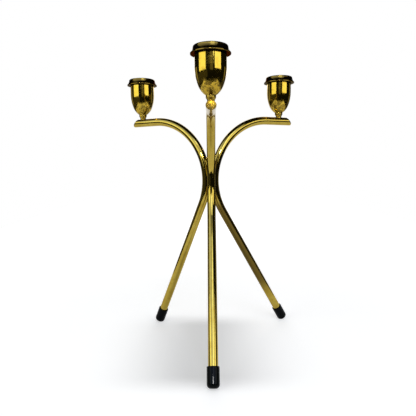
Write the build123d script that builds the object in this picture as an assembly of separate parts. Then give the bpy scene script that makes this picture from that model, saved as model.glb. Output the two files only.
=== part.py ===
from build123d import *

import os
from math import cos, radians, sin, sqrt

# Tripod candelabra: three bent brass rods, each an arm, a waist and a leg in one,
# brazed side by side at the waist, with a candle cup on each arm and a rubber tip on each leg.
# Millimetres, +Z up, the front arm points along -Y, and the feet stand on Z = 0.
# The origin is the middle of the whole outline, on the floor.

# Rods: one bend of constant radius runs from the leg, through the waist, to the level arm
rod_diameter = 8.0
bend_radius = 59.0  # to the rod's centreline
waist_height = 156.0
arm_reach = 87.0  # from the rod's upright stretch to the middle of the mitred end
mitre_angle = 42.0  # of the end cut from upright, so the underside is the longer one
mitre_round = 1.0

# How each rod stands: bearing of its plane from +X, splay of its leg from upright,
# and how far in from the arm's mitred end its cup stands, each made by hand a little differently
front_bearing_angle = -90.3
front_splay_angle = 35.2
front_cup_inset = 11.0
right_bearing_angle = 25.0
right_splay_angle = 30.9
right_cup_inset = 12.5
left_bearing_angle = 149.0
left_splay_angle = 23.5
left_cup_inset = 9.5

# Waist: the rods stand in a nest of three, with braze drawn in between them
braze_gap = 0.1  # between two rods, where they come closest
nest_turn_angle = 6.0  # of the nest from the arms' bearings
braze_radius = 3.5
braze_height = 16.0
braze_round = 0.5

# Candle cup: spun bell with an upright mouth, sized for a candle
candle_diameter = 22.0
candle_clearance = 0.3  # on the radius
cup_wall = 0.8
cup_height = 30.9
cup_straight = 10.4  # upright stretch below the mouth
heel_height = 7.2  # where the side turns in towards the foot of the bell
heel_inset = 2.5  # from the upright side to the heel
cup_foot_diameter = 8.0

# Rim ring: turned ring over the mouth, with a rounded crest that flares out to a thin flange
ring_clearance = 0.05  # round the mouth, on the radius
ring_crest_height = 4.7  # above the mouth
ring_crest_round = 1.25
ring_inner_round = 0.5
ring_land = 0.3  # flat between the two rounds of the crest
ring_side_angle = 5.0  # of the side from upright, just below the crest
ring_skirt = 1.4  # depth of the ring below the mouth, round the cup
flange_diameter = 30.7
flange_edge = 0.8  # height of the flange's edge
flange_edge_round = 0.25

# Collar: turned spacer between arm and cup, saddled to the rod
collar_diameter = 7.8
collar_stem_diameter = 5.8
collar_height = 4.5  # from the top of the arm to the foot of the cup
collar_head_height = 1.9
collar_taper_height = 1.6
collar_edge_round = 0.3

# Cup screw: slotted round-head screw down through cup and collar into the arm
screw_diameter = 3.0
screw_hole_clearance = 0.1  # on the radius, in the cup and the collar
screw_head_diameter = 5.8
screw_head_height = 1.9
screw_head_round = 0.9
screw_in_arm = 5.0
screw_slot_width = 0.8
screw_slot_depth = 0.9

# Rubber tip: push-on cap with a round end, worn flat where it stands
tip_diameter = 10.2
tip_length = 16.0
tip_end_wall = 3.0
tip_end_round = 3.1
tip_mouth_round = 0.5
tip_flat = 0.35  # depth worn away at the floor

rod_radius = rod_diameter / 2
tip_radius = tip_diameter / 2
arm_height = waist_height + bend_radius
cup_base = arm_height + rod_radius + collar_height
bore_radius = candle_diameter / 2 + candle_clearance
cup_radius = bore_radius + cup_wall
nest_radius = (rod_diameter + braze_gap) / sqrt(3)

rods = {
    "front": (front_bearing_angle, front_splay_angle, arm_reach - front_cup_inset),
    "right": (right_bearing_angle, right_splay_angle, arm_reach - right_cup_inset),
    "left": (left_bearing_angle, left_splay_angle, arm_reach - left_cup_inset),
}


def rod_place(turn_in_nest, bearing):
    """Place of one rod: its own plane is XZ, with its upright stretch on the Z axis."""
    in_nest = radians(turn_in_nest)
    return Pos(nest_radius * cos(in_nest), nest_radius * sin(in_nest)) * Rot(0, 0, bearing)


def leg_direction(splay):
    """Unit vector down the leg, in the rod's own plane."""
    return Vector(sin(radians(splay)), 0, -cos(radians(splay)))


def leg_top(splay):
    """Point of the centreline where the bend ends and the straight leg starts."""
    turn = radians(splay)
    return Vector(bend_radius * (1 - cos(turn)), 0, waist_height - bend_radius * sin(turn))


def tip_end(splay):
    """End of the tip's axis, set so that the worn flat of its round end lies on the floor."""
    turn = radians(splay)
    flat_ring = (tip_radius - tip_end_round) * sin(turn)
    end_height = flat_ring + tip_end_round * (1 - cos(turn)) - tip_flat
    run = (leg_top(splay).Z - end_height) / cos(turn)
    return leg_top(splay) + leg_direction(splay) * run


def bent_rod(splay, cup_reach):
    """Arm, waist and leg in one round bar, mitred at the arm's end and tapped for the screw."""
    foot = tip_end(splay) - leg_direction(splay) * tip_end_wall
    leg = Line((foot.X, foot.Z), (leg_top(splay).X, leg_top(splay).Z))
    bend = CenterArc((bend_radius, waist_height), bend_radius, 180 + splay, -90 - splay)
    long_end = arm_reach + rod_diameter
    arm = Line((bend_radius, arm_height), (long_end, arm_height))
    path = Plane.XZ * Wire([leg, bend, arm])
    bar = sweep(Plane(path @ 0, z_dir=path % 0) * Circle(rod_radius), path=path)
    tilt = radians(mitre_angle)
    mitre = Plane((arm_reach, 0, arm_height), z_dir=(cos(tilt), 0, sin(tilt)))
    bar = split(bar, bisect_by=mitre, keep=Keep.BOTTOM)
    bar = fillet(bar.edges().sort_by(Axis.X)[-1], mitre_round)
    return bar - screw_shank(cup_reach)


def screw_shank(cup_reach, clearance=0.0):
    """The screw's round shank, or the hole for it, from inside the arm up to the cup's floor."""
    top = cup_base + cup_wall
    bottom = arm_height + rod_radius - screw_in_arm
    shank = Cylinder(screw_diameter / 2 + clearance, top - bottom)
    return Pos(cup_reach, 0, (top + bottom) / 2) * shank


def collar(cup_reach):
    """Turned collar: head under the cup, taper and stem, with a saddle that fits the arm."""
    head = collar_diameter / 2
    stem = collar_stem_diameter / 2
    stem_top = collar_height - collar_head_height - collar_taper_height
    outline = Polyline(
        (0, -rod_radius),
        (stem, -rod_radius),
        (stem, stem_top),
        (head, collar_height - collar_head_height),
        (head, collar_height),
        (0, collar_height),
        close=True,
    )
    section = make_face(outline)
    head_corners = section.vertices().group_by(Axis.X)[-1]
    section = fillet(head_corners, collar_edge_round)
    turned = revolve(Plane.XZ * section, Axis.Z)
    seated = Pos(cup_reach, 0, arm_height + rod_radius) * turned
    arm = Pos(cup_reach, 0, arm_height) * Rot(0, 90, 0) * Cylinder(rod_radius, 4 * collar_diameter)
    return seated - arm - screw_shank(cup_reach, screw_hole_clearance)


def candle_cup(cup_reach):
    """Spun bell with an upright mouth, of one wall all over, and a screw hole in its floor."""
    side_start = cup_height - cup_straight
    heel = (cup_radius - heel_inset, heel_height)
    upper = TangentArc((cup_radius, side_start), heel, tangent=(0, -1))
    lower = TangentArc(heel, (cup_foot_diameter / 2, 0), tangent=upper % 1)
    outline = Wire([
        Line((0, cup_height), (cup_radius, cup_height)),
        Line((cup_radius, cup_height), (cup_radius, side_start)),
        upper,
        lower,
        Line((cup_foot_diameter / 2, 0), (0, 0)),
        Line((0, 0), (0, cup_height)),
    ])
    bell = revolve(Plane.XZ * make_face(outline), Axis.Z)
    mouth = bell.faces().sort_by(Axis.Z)[-1]
    cup = offset(bell, amount=-cup_wall, openings=mouth)
    return Pos(cup_reach, 0, cup_base) * cup - screw_shank(cup_reach, screw_hole_clearance)


def rim_ring(cup_reach):
    """Turned ring on the mouth: round crest, side that flares to the flange, skirt round the cup."""
    seat_radius = cup_radius + ring_clearance
    turn = radians(90 - ring_side_angle)
    crest_start = bore_radius + ring_inner_round + ring_land
    crest_end = (
        crest_start + ring_crest_round * sin(turn),
        ring_crest_height - ring_crest_round * (1 - cos(turn)),
    )
    flange_radius = flange_diameter / 2
    edge_top = (flange_radius, flange_edge - ring_skirt)
    crest = TangentArc((crest_start, ring_crest_height), crest_end, tangent=(1, 0))
    side = TangentArc(crest_end, edge_top, tangent=crest % 1)
    outline = Wire([
        crest,
        side,
        Line(edge_top, (flange_radius, -ring_skirt)),
        Line((flange_radius, -ring_skirt), (seat_radius, -ring_skirt)),
        Line((seat_radius, -ring_skirt), (seat_radius, 0)),
        Line((seat_radius, 0), (bore_radius, 0)),
        Line((bore_radius, 0), (bore_radius, ring_crest_height)),
        Line((bore_radius, ring_crest_height), (crest_start, ring_crest_height)),
    ])
    section = make_face(outline)
    section = fillet(section.vertices().group_by(Axis.X)[-1], flange_edge_round)
    bore_top = section.vertices().group_by(Axis.X)[0].sort_by(Axis.Y)[-1]
    section = fillet(bore_top, ring_inner_round)
    ring = revolve(Plane.XZ * section, Axis.Z)
    return Pos(cup_reach, 0, cup_base + cup_height) * ring


def cup_screw(cup_reach):
    """Slotted screw whose round head lies on the cup's floor."""
    head_base = cup_base + cup_wall
    head = Pos(cup_reach, 0, head_base + screw_head_height / 2) * Cylinder(
        screw_head_diameter / 2, screw_head_height
    )
    head = fillet(head.edges().sort_by(Axis.Z)[-1], screw_head_round)
    slot = Pos(cup_reach, 0, head_base + screw_head_height) * Box(
        2 * screw_head_diameter, screw_slot_width, 2 * screw_slot_depth
    )
    return head + screw_shank(cup_reach) - slot


def foot_tip(splay):
    """Rubber cap pushed over the leg's end, with a round end worn flat at the floor."""
    cap = Pos(0, 0, tip_length / 2) * Cylinder(tip_radius, tip_length)
    cap = fillet(cap.edges().sort_by(Axis.Z)[0], tip_end_round)
    cap = fillet(cap.edges().sort_by(Axis.Z)[-1], tip_mouth_round)
    socket_depth = tip_length - tip_end_wall
    socket = Pos(0, 0, tip_end_wall + socket_depth / 2) * Cylinder(rod_radius, socket_depth)
    towards_floor = (-cos(radians(splay)), 0, -sin(radians(splay)))
    along_leg = Plane(tip_end(splay), x_dir=towards_floor, z_dir=-leg_direction(splay))
    return split(along_leg * (cap - socket), bisect_by=Plane.XY, keep=Keep.TOP)


def waist_braze(bars):
    """Braze drawn in between the three rods, filling the core of the nest and its grooves."""
    fill = Cylinder(braze_radius, braze_height)
    fill = fillet(fill.edges().filter_by(GeomType.CIRCLE), braze_round)
    fill = Pos(0, 0, waist_height) * fill
    for bar in bars:
        fill -= bar
    return fill


pieces = {}
for index, (name, (bearing, splay, cup_reach)) in enumerate(rods.items()):
    place = rod_place(front_bearing_angle + nest_turn_angle + index * 360 / len(rods), bearing)
    pieces["rod_" + name] = place * bent_rod(splay, cup_reach)
    pieces["cup_collar_" + name] = place * collar(cup_reach)
    pieces["candle_cup_" + name] = place * candle_cup(cup_reach)
    pieces["rim_ring_" + name] = place * rim_ring(cup_reach)
    pieces["cup_screw_" + name] = place * cup_screw(cup_reach)
    pieces["foot_tip_" + name] = place * foot_tip(splay)
pieces["waist_braze"] = waist_braze([pieces["rod_" + name] for name in rods])

outline_middle = Compound(list(pieces.values())).bounding_box().center()
centred = Pos(-outline_middle.X, -outline_middle.Y)

os.makedirs("parts", exist_ok=True)
for node, piece in pieces.items():
    export_step(centred * piece, "parts/" + node + ".step")
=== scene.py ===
import math

import bpy
from mathutils import Euler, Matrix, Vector


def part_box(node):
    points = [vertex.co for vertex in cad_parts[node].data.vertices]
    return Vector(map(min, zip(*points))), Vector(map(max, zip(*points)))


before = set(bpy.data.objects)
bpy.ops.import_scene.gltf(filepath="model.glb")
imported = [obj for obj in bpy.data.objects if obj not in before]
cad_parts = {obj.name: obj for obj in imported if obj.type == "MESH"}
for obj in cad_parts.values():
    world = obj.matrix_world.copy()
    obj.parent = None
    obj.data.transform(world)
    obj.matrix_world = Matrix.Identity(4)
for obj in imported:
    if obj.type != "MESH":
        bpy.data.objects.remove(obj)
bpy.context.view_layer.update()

# Camera, fitted to the photograph: metres in the part's frame, degrees, and pixels of its frame
IMAGE_SIDE = 416
FOCAL_PIXELS = 393.5
SENSOR_WIDTH = 36.0
CAMERA_PLACE = (-0.00319, -0.36006, 0.1753)
CAMERA_PITCH = 6.92  # downwards
CAMERA_ROLL = 0.52  # the picture's right side is raised
CAMERA_CLIP = (0.01, 50.0)

# Table: a pale sheet of paper, with a painted shadow, the soft grey patch that the part stands in
TABLE_SIDE = 1.10
TABLE_FRONT = -0.44  # the paper ends here, a little behind the camera
TABLE_BACK = 1.60
PAPER_WHITE = 0.80
PAPER_LIFT = (0.66, 1.08)  # glow of the paper for what is seen, near the part and far from it
PAPER_LIFT_REACH = (0.15, 0.80)
# painted shadow on the paper: how deep, where its middle is, how wide, and where it ends behind
# and in front
PAINTED_SHADOW_DEPTH = 0.37
PAINTED_SHADOW_MIDDLE = -0.010
PAINTED_SHADOW_SPREAD = 0.054
PAINTED_SHADOW_BACK = (0.040, 0.078)
PAINTED_SHADOW_FRONT = (-0.086, -0.056)

# Room and dark cloth: the cloth goes round the table and over it, open at the back
ROOM_GREY = 0.27
CLOTH_COLOUR = (0.010, 0.011, 0.009)
CLOTH_RADIUS = 1.5
CLOTH_ROWS = (  # height, and share of the radius, from under the table to the peak
    (-0.02, 0.2),
    (-0.02, 1.0),
    (0.55, 1.0),
    (1.25, 0.72),
    (1.5, 0.30),
    (1.55, 0.0),
)
CLOTH_STEPS = 36
OPEN_ROW = 1  # the upright row, where the white background shows behind the part
OPEN_STEPS = 3  # to each side of the back

# Pale ceiling that the brass mirrors: bearings from the camera's side, elevations, metres
CANOPY_BEARING = (-90.0, 44.0)
CANOPY_ELEVATION = (28.0, 70.0)
CANOPY_RADIUS = 1.1
CANOPY_STEPS = 20
CANOPY_FADE = (0.80, 1.06)  # heights between which its glow falls
CANOPY_GLOW = (1.5, 0.12)
CANOPY_COLOUR = (0.88, 1.0, 1.55)

# Light of the lamps
PLAIN_LIGHT = (1.0, 1.0, 1.0)
DAYLIGHT = (0.90, 1.0, 1.25)
GREENISH = (0.94, 1.0, 0.92)

# Brass, as it renders in plain light
GOLD = (0.46, 0.33, 0.050)
PALE_GOLD = (0.56, 0.43, 0.085)
DEEP_GOLD = (0.38, 0.235, 0.024)
# painted highlight on the front arm's end face
PAINTED_HIGHLIGHT_GOLD = (1.0, 0.84, 0.30)
BRAZE_GOLD = (0.42, 0.29, 0.10)
# tarnish, and the colour of the painted dark reflection on the right leg and the rim rings
TARNISH_AND_PAINTED_SHADE = (0.10, 0.066, 0.014)
ROD_PAINTED_SHADE_TONE = (0.78, 0.78, 0.78)  # the rods' brass is darkened as painted shade, dimming what they mirror; the cups are the warmer ones
CUP_TONE = (0.95, 0.88, 0.62)
EDGE_TINT = (0.80, 0.76, 0.66)  # of brass seen at a grazing angle
# edge tint of the rim rings, dark as a painted dark reflection at their grazing edges
RING_EDGE_TINT = (0.26, 0.25, 0.23)

# Noises of the brass, with scales per metre
BROAD = dict(scale=48.0, detail=2.0)
MIDDLE = dict(scale=230.0, detail=4.0, rough=0.62, distortion=0.6)
FINE = dict(scale=1500.0, detail=3.0, rough=0.6)
STREAKS = dict(scale=60.0, detail=4.0, rough=0.65)
CLOUDS = dict(scale=330.0, detail=4.0, rough=0.62, distortion=1.2)
WAVES = dict(scale=95.0, detail=2.0)

# What the brass makes of its noises: the stretch of each that counts, and its share
PALE_SPAN, PALE_SHARE = (0.35, 0.65), 0.55
WARM_SPAN, WARM_SHARE = (0.44, 0.66), 0.45
WARM_DULLING = 0.05
SPOT_SPAN = (0.60, 0.74)
STREAK_SPAN, STREAK_DULLING = (0.50, 0.75), 0.05
RAGGED_SPAN, RAGGEDNESS = (0.15, 0.45), 0.35  # edge of a side with a painted dark reflection
DARK_FOOT, DARK_HEAD = 0.022, 0.012  # metres in which a painted dark reflection fades in and out
SAWN_SPAN = (0.45, 0.60)  # how squarely a surface faces the end of its arm, for the painted highlight there
FINE_DEPTH, FINE_STRENGTH = 0.000002, 0.5
RING_PITCH = 2300.0  # radians of turning marks per metre of height
RING_WANDER, RING_STRENGTH = 3.0, 0.7

# Painted light on single rods, in the part's frame: a painted dark reflection on the right leg, a
# painted highlight on the front arm's end
# painted dark reflection on the right leg's lower side, facing the camera
RIGHT_LEG_PAINTED_DARK = dict(side=(-0.35, -0.85, -0.40), heights=(0.030, 0.140), share=0.92)
# painted highlight on the front arm's end face, which is also rougher
FRONT_ARM_END = dict(side=(0.0, -1.0, 0.0), above=0.209, dulling=0.17)

# Black rubber
RUBBER_BLACK = (0.0012, 0.0022, 0.0024)
RUBBER_DUST = (0.010, 0.010, 0.010)
RUBBER_GLOSS = 0.045
RUBBER_WEAR = 0.22  # added roughness where it is scuffed
RUBBER_SHEEN = 0.05
SOLE_HEIGHTS = (0.0004, 0.0035)


def camera():
    """The photograph's viewpoint."""
    data = bpy.data.cameras.new("camera")
    data.sensor_width = SENSOR_WIDTH
    data.lens = FOCAL_PIXELS / IMAGE_SIDE * SENSOR_WIDTH
    data.clip_start, data.clip_end = CAMERA_CLIP
    viewer = bpy.data.objects.new("camera", data)
    bpy.context.scene.collection.objects.link(viewer)
    viewer.location = CAMERA_PLACE
    level = Euler((math.radians(90.0 - CAMERA_PITCH), 0.0, 0.0)).to_matrix()
    roll = Euler((0.0, 0.0, math.radians(-CAMERA_ROLL))).to_matrix()
    viewer.rotation_euler = (level @ roll).to_euler()
    bpy.context.scene.camera = viewer


class Nodes:
    """Short calls that add nodes to one tree and link them."""

    def __init__(self, tree):
        self.tree = tree
        tree.nodes.clear()

    def add(self, kind, inputs=None, **settings):
        node = self.tree.nodes.new(kind)
        for name, value in settings.items():
            setattr(node, name, value)
        for name, value in (inputs or {}).items():
            self.put(node.inputs[name], value)
        return node

    def put(self, socket, value):
        if isinstance(value, bpy.types.NodeSocket):
            self.tree.links.new(value, socket)
        else:
            socket.default_value = value

    def place(self):
        """Place on the object, in metres."""
        return self.add("ShaderNodeTexCoord").outputs["Object"]

    def axes(self, place):
        return self.add("ShaderNodeSeparateXYZ", {"Vector": place}).outputs

    def math(self, operation, *values):
        node = self.add("ShaderNodeMath", operation=operation)
        for socket, value in zip(node.inputs, values):
            self.put(socket, value)
        return node.outputs[0]

    def product(self, first, *others):
        for other in others:
            first = self.math("MULTIPLY", first, other)
        return first

    def total(self, first, *others):
        for other in others:
            first = self.math("ADD", first, other)
        return first

    def span(self, value, low, high, to_low=0.0, to_high=1.0):
        """value's stretch from low to high, mapped smoothly to to_low .. to_high."""
        node = self.add(
            "ShaderNodeMapRange",
            {
                "Value": value,
                "From Min": low,
                "From Max": high,
                "To Min": to_low,
                "To Max": to_high,
            },
            interpolation_type="SMOOTHSTEP",
        )
        return node.outputs["Result"]

    def noise(self, place, scale, detail, rough=0.5, distortion=0.0):
        node = self.add(
            "ShaderNodeTexNoise",
            {
                "Vector": place,
                "Scale": scale,
                "Detail": detail,
                "Roughness": rough,
                "Distortion": distortion,
            },
        )
        return node.outputs["Fac"]

    def mix(self, share, first, second):
        """Colour between two; the Mix node's sockets for colours share their names with others."""
        node = self.add("ShaderNodeMix", data_type="RGBA")
        colours = [socket for socket in node.inputs if socket.type == "RGBA"]
        for socket, value in zip((node.inputs[0], *colours), (share, first, second)):
            self.put(socket, as_colour(value))
        return next(socket for socket in node.outputs if socket.type == "RGBA")

    def vector(self, operation, *values):
        node = self.add("ShaderNodeVectorMath", operation=operation)
        for socket, value in zip(node.inputs, values):
            self.put(socket, value)
        return node.outputs

    def facing(self, side):
        """How far the surface looks towards a side, 1 where it looks straight there."""
        normal = self.add("ShaderNodeNewGeometry").outputs["True Normal"]
        return self.vector("DOT_PRODUCT", normal, side)["Value"]

    def bump(self, height, depth, strength=1.0, under=None):
        """Bumped normal, on top of another if one is given; the depth is in metres."""
        inputs = {"Height": height, "Distance": depth, "Strength": strength}
        if under is not None:
            inputs["Normal"] = under
        return self.add("ShaderNodeBump", inputs).outputs["Normal"]

    def metal(self, colour, dull, edge_tint, normal):
        shader = self.add(
            "ShaderNodeBsdfPrincipled",
            {
                "Base Color": colour,
                "Metallic": 1.0,
                "Roughness": dull,
                "Specular Tint": as_colour(edge_tint),
                "Normal": normal,
            },
        )
        self.surface(shader)

    def glow(self, colour, strength):
        return self.add("ShaderNodeEmission", {"Color": as_colour(colour), "Strength": strength})

    def surface(self, shader):
        self.add("ShaderNodeOutputMaterial", {"Surface": shader.outputs[0]})


def as_colour(value):
    """A tuple of three numbers with the fourth that a colour socket wants; else the value."""
    if isinstance(value, tuple) and len(value) == 3:
        return (*value, 1.0)
    return value


def toned(colour, tone):
    return tuple(part * share for part, share in zip(colour, tone))


def new_material(name):
    """An empty node material, and the calls that fill it."""
    material = bpy.data.materials.new(name)
    material.use_nodes = True
    return material, Nodes(material.node_tree)


def patina_and_painted_shade_in_clouds(nodes, place, height, heights, share, cloud):
    """Darkening in clouds, full below the first height and none above the second: patina on the
    cups, painted dark reflection on the rim rings, and on the collars a darkening towards their
    bottom.
    """
    aged = nodes.span(height, *heights, 1.0, 0.0)
    return nodes.product(aged, nodes.span(nodes.noise(place, **CLOUDS), *cloud), share)


def painted_dark_share(nodes, middle, height, side, heights, share):
    """A rod's side with a painted dark reflection, with a ragged edge, between two heights."""
    low, high = heights
    ragged = nodes.total(nodes.facing(side), nodes.product(middle, RAGGEDNESS))
    fade_in = nodes.span(height, low, low + DARK_FOOT)
    fade_out = nodes.span(height, high - DARK_HEAD, high, 1.0, 0.0)
    return nodes.product(nodes.span(ragged, *RAGGED_SPAN), share, fade_in, fade_out)


def sawn_share(nodes, height, side, above):
    """The cut face at an arm's end, which carries a painted highlight."""
    squarely = nodes.span(nodes.facing(side), *SAWN_SPAN)
    return nodes.product(squarely, nodes.math("GREATER_THAN", height, above))


def brass(
    name,
    grain,
    tone=(1.0, 1.0, 1.0),
    patina_and_painted_shade=None,
    painted_dark_side=None,
    painted_highlight_end=None,
    edge_tint=EDGE_TINT,
    tarnish=0.25,
    gloss=0.09,
    dulling=0.28,
    wave=0.00005,
    marks=0.0000036,
    rings=0.0,
):
    """Polished brass: warm and pale patches, a little tarnish, hairline polishing marks, and where
    asked, patina, painted dark reflection and a painted highlight.
    """
    material, nodes = new_material(name)
    place = nodes.place()
    height = nodes.axes(place)["Z"]
    middle = nodes.noise(place, **MIDDLE)
    streaks = nodes.noise(nodes.vector("MULTIPLY", place, grain)["Vector"], **STREAKS)

    pale = nodes.product(nodes.span(nodes.noise(place, **BROAD), *PALE_SPAN), PALE_SHARE)
    warm = nodes.span(middle, *WARM_SPAN)
    colour = nodes.mix(pale, toned(GOLD, tone), toned(PALE_GOLD, tone))
    colour = nodes.mix(nodes.product(warm, WARM_SHARE), colour, toned(DEEP_GOLD, tone))
    tarnish_and_painted_shade_share = nodes.product(nodes.span(middle, *SPOT_SPAN), tarnish)
    if patina_and_painted_shade is not None:
        tarnish_and_painted_shade_share = nodes.math("MAXIMUM", tarnish_and_painted_shade_share, patina_and_painted_shade_in_clouds(nodes, place, height, **patina_and_painted_shade))
    if painted_dark_side is not None:
        # painted dark reflection on one side of a rod
        tarnish_and_painted_shade_share = nodes.math("MAXIMUM", tarnish_and_painted_shade_share, painted_dark_share(nodes, middle, height, **painted_dark_side))
    # tarnish spots and patina, and painted dark reflection where a piece asks for it
    colour = nodes.mix(tarnish_and_painted_shade_share, colour, TARNISH_AND_PAINTED_SHADE)

    dull = nodes.total(nodes.product(warm, WARM_DULLING), gloss, nodes.product(tarnish_and_painted_shade_share, dulling))
    dull = nodes.total(dull, nodes.span(streaks, *STREAK_SPAN, 0.0, STREAK_DULLING))
    # painted highlight on an arm's end face, which is also made rougher
    if painted_highlight_end is not None:
        sawn = sawn_share(nodes, height, painted_highlight_end["side"], painted_highlight_end["above"])
        colour = nodes.mix(sawn, colour, PAINTED_HIGHLIGHT_GOLD)
        dull = nodes.total(dull, nodes.product(sawn, painted_highlight_end["dulling"]))

    normal = nodes.bump(nodes.noise(place, **WAVES), wave)
    normal = nodes.bump(streaks, marks, under=normal)
    if rings:
        phase = nodes.total(nodes.product(height, RING_PITCH), nodes.product(middle, RING_WANDER))
        normal = nodes.bump(nodes.math("SINE", phase), rings, RING_STRENGTH, normal)
    normal = nodes.bump(nodes.noise(place, **FINE), FINE_DEPTH, FINE_STRENGTH, normal)
    nodes.metal(colour, dull, edge_tint, normal)
    return material


def braze(name):
    """Braze metal: paler and duller than the rods, with a frozen, pitted skin."""
    material, nodes = new_material(name)
    place = nodes.place()
    skin = nodes.noise(place, scale=700.0, detail=5.0, rough=0.65, distortion=1.0)
    flow = nodes.noise(place, scale=260.0, detail=2.0)
    colour = nodes.mix(nodes.span(skin, 0.38, 0.66), BRAZE_GOLD, TARNISH_AND_PAINTED_SHADE)
    dull = nodes.span(flow, 0.35, 0.65, to_low=0.28, to_high=0.48)
    normal = nodes.bump(flow, depth=0.0002)
    normal = nodes.bump(skin, depth=0.00008, strength=0.9, under=normal)
    nodes.metal(colour, dull, EDGE_TINT, normal)
    return material


def rubber(name):
    """Black rubber from a smooth mould: glossy, with faint scuffs and a duller, dusty sole."""
    material, nodes = new_material(name)
    place = nodes.place()
    scuff = nodes.noise(place, scale=520.0, detail=5.0, rough=0.7, distortion=0.8)
    skin = nodes.noise(place, scale=2600.0, detail=2.0)
    flow = nodes.noise(place, scale=150.0, detail=2.0)
    sole = nodes.span(nodes.axes(place)["Z"], *SOLE_HEIGHTS, to_low=1.0, to_high=0.0)
    scuffed = nodes.product(nodes.span(scuff, 0.50, 0.72), 0.55)
    worn = nodes.math("MAXIMUM", scuffed, nodes.product(sole, nodes.span(scuff, 0.3, 0.6)))
    normal = nodes.bump(flow, depth=0.00004)
    normal = nodes.bump(skin, depth=0.000004, strength=0.8, under=normal)
    shader = nodes.add(
        "ShaderNodeBsdfPrincipled",
        {
            "Base Color": nodes.mix(worn, RUBBER_BLACK, RUBBER_DUST),
            "Roughness": nodes.total(nodes.product(worn, RUBBER_WEAR), RUBBER_GLOSS),
            "Normal": normal,
            "Specular IOR Level": RUBBER_SHEEN,
        },
    )
    nodes.surface(shader)
    return material


def dress():
    """Each node's finish, by the kind of piece it is."""
    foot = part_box("candle_cup_front")[0].z
    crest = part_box("rim_ring_front")[1].z
    rod = dict(
        grain=(1.0, 1.0, 0.12),
        # painted shade: the rods' brass is darkened
        tone=ROD_PAINTED_SHADE_TONE,
        tarnish=0.12,
        gloss=0.06,
        wave=0.00003,
        marks=0.0000010,
    )
    finishes = {
        # the right leg, with a painted dark reflection on its lower side
        "rod_right": brass("rod_brass_painted_dark_reflection", painted_dark_side=RIGHT_LEG_PAINTED_DARK, dulling=0.10, **rod),
        # the front rod, with a painted highlight on its arm's end face
        "rod_front": brass("rod_brass_painted_highlight_end", painted_highlight_end=FRONT_ARM_END, **rod),
        "rod": brass("rod_brass_polished", **rod),
        "candle_cup": brass(
            "cup_brass_spun",
            grain=(1.0, 1.0, 14.0),
            tone=CUP_TONE,
            patina_and_painted_shade=dict(heights=(foot + 0.006, foot + 0.0145), share=0.88, cloud=(0.42, 0.58)),
            gloss=0.07,
            wave=0.00012,
            rings=0.0000015,
        ),
        "rim_ring": brass(
            "ring_brass_turned",
            grain=(1.0, 1.0, 18.0),
            tone=CUP_TONE,
            # painted dark reflection over the ring below its crest; the top of the crest keeps the
            # brass colour
            patina_and_painted_shade=dict(heights=(crest - 0.0017, crest - 0.0003), share=0.92, cloud=(0.15, 0.40)),
            edge_tint=RING_EDGE_TINT,
            gloss=0.07,
            dulling=0.04,
            rings=0.0000012,
        ),
        "cup_collar": brass(
            "collar_brass_turned",
            grain=(1.0, 1.0, 18.0),
            tone=CUP_TONE,
            # darker in clouds towards the collar's bottom
            patina_and_painted_shade=dict(heights=(foot, foot + 0.004), share=0.75, cloud=(0.30, 0.55)),
            gloss=0.13,
        ),
        "cup_screw": brass("screw_brass_plain", grain=(1.0, 1.0, 6.0), tarnish=0.6, gloss=0.20),
        "foot_tip": rubber("foot_rubber_gloss"),
        "waist_braze": braze("braze_metal_skin"),
    }
    for name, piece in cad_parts.items():
        kind = next(k for k in finishes if name.startswith(k))
        piece.data.materials.clear()
        piece.data.materials.append(finishes[kind])


def direction(bearing, elevation):
    """Unit vector: bearing 0 is towards the camera, positive to its right; degrees."""
    b, e = math.radians(bearing), math.radians(elevation)
    return Vector((math.sin(b) * math.cos(e), -math.cos(b) * math.cos(e), math.sin(e)))


def softbox(name, bearing, width, low, high, distance, radiance, lean=0.0, colour=PLAIN_LIGHT):
    """Soft lamp that stands upright round the part, or leans over it, unseen by the camera."""
    data = bpy.data.lights.new(name, "AREA")
    data.shape = "RECTANGLE"
    data.size = width
    data.size_y = high - low
    data.color = colour
    data.energy = radiance * math.pi * data.size * data.size_y
    lamp = bpy.data.objects.new(name, data)
    bpy.context.scene.collection.objects.link(lamp)
    lamp.location = direction(bearing, 0.0) * distance + Vector((0.0, 0.0, (low + high) / 2))
    lamp.rotation_euler = direction(bearing, lean).to_track_quat("Z", "Y").to_euler()
    lamp.visible_camera = False


def sheet(name, rows, material, gaps=()):
    """Staged sheet through rows of corners; gaps lists the faces left out, by row and column."""
    width = len(rows[0])
    faces = []
    for row in range(len(rows) - 1):
        for column in range(width - 1):
            if (row, column) not in gaps:
                a = row * width + column
                faces.append((a, a + 1, a + width + 1, a + width))
    mesh = bpy.data.meshes.new(name)
    mesh.from_pydata([corner for row in rows for corner in row], [], faces)
    made = bpy.data.objects.new(name, mesh)
    bpy.context.scene.collection.objects.link(made)
    made.data.materials.append(material)
    return made


def gloss_only(made):
    """Shows the sheet only in the part's gloss."""
    made.visible_camera = False
    made.visible_diffuse = False
    made.visible_shadow = False


def seen_share(nodes):
    """1 for what the camera sees directly, or by way of gloss or glass; otherwise 0."""
    path = nodes.add("ShaderNodeLightPath")
    seen = nodes.math("MAXIMUM", path.outputs["Is Camera Ray"], path.outputs["Is Glossy Ray"])
    return nodes.math("MAXIMUM", seen, path.outputs["Is Transmission Ray"])


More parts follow.
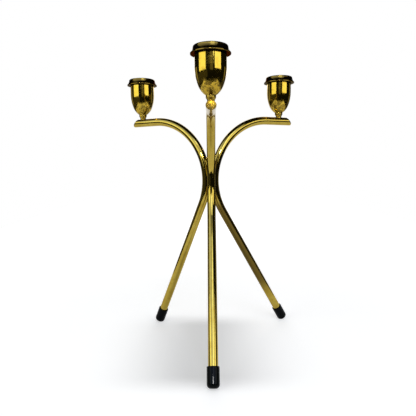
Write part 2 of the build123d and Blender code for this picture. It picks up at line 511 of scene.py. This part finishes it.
def painted_floor_shadow(nodes, place):
    """The paper's white, and a painted shadow: the soft grey patch between the feet."""
    axes = nodes.axes(place)
    across = nodes.math("DIVIDE", nodes.math("SUBTRACT", axes["X"], PAINTED_SHADOW_MIDDLE), PAINTED_SHADOW_SPREAD)
    across = nodes.math("EXPONENT", nodes.product(across, across, -1.0))
    behind = nodes.span(axes["Y"], *PAINTED_SHADOW_BACK, 1.0, 0.0)
    along = nodes.product(behind, nodes.span(axes["Y"], *PAINTED_SHADOW_FRONT))
    # depth of the painted shadow on the paper
    depth = nodes.product(across, along, PAINTED_SHADOW_DEPTH)
    return nodes.mix(depth, (PAPER_WHITE,) * 3, (0.0, 0.0, 0.0))


def floor():
    """Pale floor that renders white, keeps the part's soft shadow, and carries a painted shadow
    between the feet.
    """
    material, nodes = new_material("floor")
    place = nodes.place()
    # the paper's colour with the painted shadow, used for both its light and its glow
    shade = painted_floor_shadow(nodes, place)
    away = nodes.vector("LENGTH", place)["Value"]
    lift = nodes.product(seen_share(nodes), nodes.span(away, *PAPER_LIFT_REACH, *PAPER_LIFT))
    both = nodes.add("ShaderNodeAddShader")
    nodes.put(both.inputs[0], nodes.add("ShaderNodeBsdfDiffuse", {"Color": shade}).outputs[0])
    nodes.put(both.inputs[1], nodes.glow(shade, lift).outputs[0])
    nodes.surface(both)
    half = TABLE_SIDE / 2
    rows = [[(-half, y, 0.0), (half, y, 0.0)] for y in (TABLE_FRONT, TABLE_BACK)]
    sheet("floor", rows, material)


def surroundings():
    """White where the picture shows it, and a plain grey room for the light."""
    world = bpy.data.worlds.new("studio")
    bpy.context.scene.world = world
    world.use_nodes = True
    nodes = Nodes(world.node_tree)
    both = nodes.add("ShaderNodeMixShader")
    nodes.put(both.inputs[0], seen_share(nodes))
    for socket, grey in zip(both.inputs[1:], (ROOM_GREY, 1.0)):
        backdrop = nodes.add("ShaderNodeBackground", {"Color": as_colour((grey,) * 3)})
        nodes.put(socket, backdrop.outputs[0])
    nodes.add("ShaderNodeOutputWorld", {"Surface": both.outputs[0]})


def plain_glow(name, colour, strength):
    material, nodes = new_material(name)
    nodes.surface(nodes.glow(colour, strength))
    return material


def dark_room():
    """Dark cloth round and over the table, open towards the white background."""
    rows = []
    for level, share in CLOTH_ROWS:
        bearings = (360.0 * i / CLOTH_STEPS - 180.0 for i in range(CLOTH_STEPS + 1))
        sides = [direction(bearing, 0.0) * CLOTH_RADIUS * share for bearing in bearings]
        rows.append([(side.x, side.y, level) for side in sides])
    gaps = [(OPEN_ROW, i) for i in range(CLOTH_STEPS) if min(i, CLOTH_STEPS - 1 - i) < OPEN_STEPS]
    gloss_only(sheet("dark_cloth", rows, plain_glow("dark_cloth", CLOTH_COLOUR, 1.0), gaps))


def card(name, bearing, spread, low, high, distance, glow):
    """Upright card of one grey, seen only in the part's gloss."""
    left = direction(bearing - spread, 0.0) * distance
    right = direction(bearing + spread, 0.0) * distance
    rows = [[(side.x, side.y, level) for side in (left, right)] for level in (low, high)]
    gloss_only(sheet(name, rows, plain_glow(name, PLAIN_LIGHT, glow)))


def canopy():
    """Pale ceiling to the left and in front, dimmer the higher it is, seen only in the gloss."""
    material, nodes = new_material("canopy")
    height = nodes.axes(nodes.place())["Z"]
    strength = nodes.span(height, *CANOPY_FADE, *CANOPY_GLOW)
    nodes.surface(nodes.glow(CANOPY_COLOUR, strength))

    def steps(first, last):
        return [first + (last - first) * i / CANOPY_STEPS for i in range(CANOPY_STEPS + 1)]

    rows = [
        [direction(bearing, elevation) * CANOPY_RADIUS for bearing in steps(*CANOPY_BEARING)]
        for elevation in steps(*CANOPY_ELEVATION)
    ]
    gloss_only(sheet("canopy", rows, material))


def lamps():
    """Two upright windows, a lamp overhead, one behind, and cards for streaks and reflections."""
    softbox(
        "lamp_left",
        bearing=-60.0,
        width=0.88,
        low=0.255,
        high=0.66,
        distance=0.92,
        radiance=2.4,
        colour=GREENISH,
    )
    softbox(
        "lamp_right",
        bearing=49.5,
        width=0.76,
        low=0.29,
        high=0.66,
        distance=0.92,
        radiance=2.4,
    )
    softbox(
        "lamp_top_front",
        bearing=12.0,
        width=0.32,
        low=0.39,
        high=1.05,
        distance=0.75,
        radiance=2.3,
        lean=45.0,
        colour=DAYLIGHT,
    )
    softbox(
        "lamp_back",
        bearing=180.0,
        width=0.80,
        low=0.40,
        high=0.80,
        distance=0.90,
        radiance=2.2,
        lean=20.0,
    )
    card("bright_front", bearing=-1.0, spread=7.0, low=0.55, high=0.615, distance=0.80, glow=120.0)
    card("card_low_left", bearing=-65.0, spread=42.0, low=0.0, high=0.22, distance=0.95, glow=0.07)
    card("card_camera", bearing=5.0, spread=9.0, low=0.22, high=0.42, distance=0.60, glow=0.16)
    card("card_left", bearing=-122.0, spread=10.0, low=0.05, high=0.45, distance=1.1, glow=0.45)
    card("card_right", bearing=118.0, spread=8.0, low=0.05, high=0.45, distance=1.1, glow=0.30)


camera()
dress()
floor()
surroundings()
dark_room()
canopy()
lamps()
bpy.context.scene.view_settings.view_transform = "Standard"
